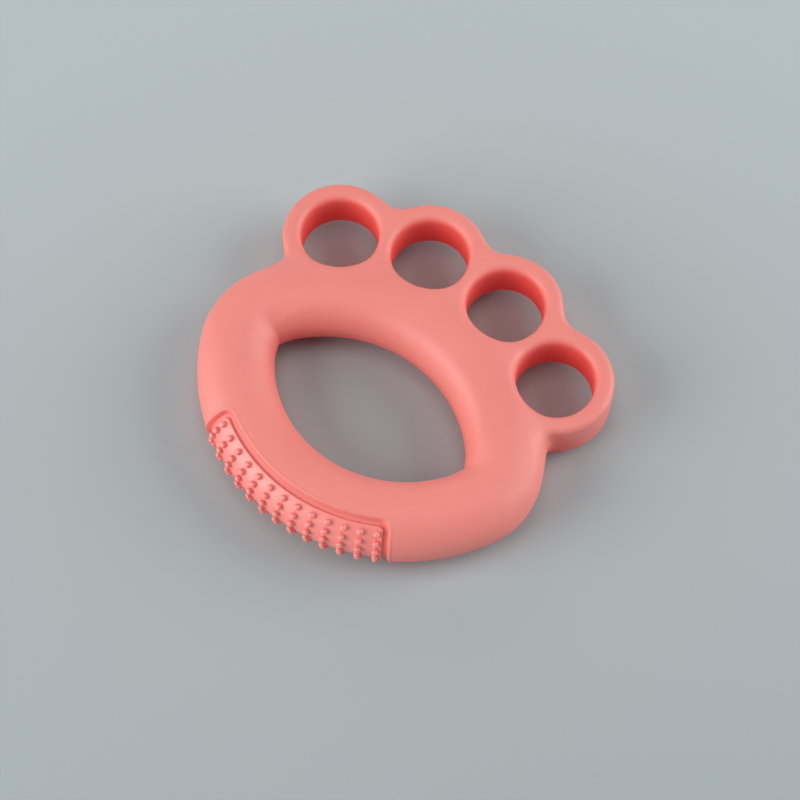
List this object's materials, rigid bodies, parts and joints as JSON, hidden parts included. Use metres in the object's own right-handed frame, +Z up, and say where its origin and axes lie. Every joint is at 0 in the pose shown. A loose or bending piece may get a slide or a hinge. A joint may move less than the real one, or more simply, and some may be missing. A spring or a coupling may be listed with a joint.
{
  "type": "soft hand grip exerciser",
  "caption": "Paw-shaped soft hand grip: a thick ring with an eye-shaped opening, a bank of finger loops and a nubbed massage pad.",
  "frame": {"origin": "centre of the bounding box in X and Y, on the surface that the ring lies on", "axes": "+X across the four fingers, +Y from the palm towards the fingertips, +Z up from the surface it lies on"},
  "size_m": [0.1136, 0.1083, 0.0205],
  "materials": {
    "silicone": "soft matt coral-pink moulded silicone",
    "massage_pad": "the same coral-pink silicone, slightly glossier on the nubs"
  },
  "bodies": {
    "palm": {"palm_bar": "silicone", "massage_pad": "massage_pad", "left_bow": "silicone", "right_bow": "silicone", "nub_row_1": "massage_pad", "nub_row_2": "massage_pad", "nub_row_3": "massage_pad", "nub_row_4": "massage_pad", "nub_row_5": "massage_pad", "nub_row_6": "massage_pad", "nub_row_7": "massage_pad"},
    "finger_bank": {"knuckle_bar": "silicone", "finger_loop_1": "silicone", "finger_loop_2": "silicone", "finger_loop_3": "silicone", "finger_loop_4": "silicone"}
  },
  "joints": [
    {"name": "squeeze", "type": "slide", "parent": "palm", "child": "finger_bank", "axis": [0, -1, 0], "range_m": [-0.008, 0.014], "stiffness_N_per_m": 8000, "deforming": ["left_bow", "right_bow"]}
  ]
}
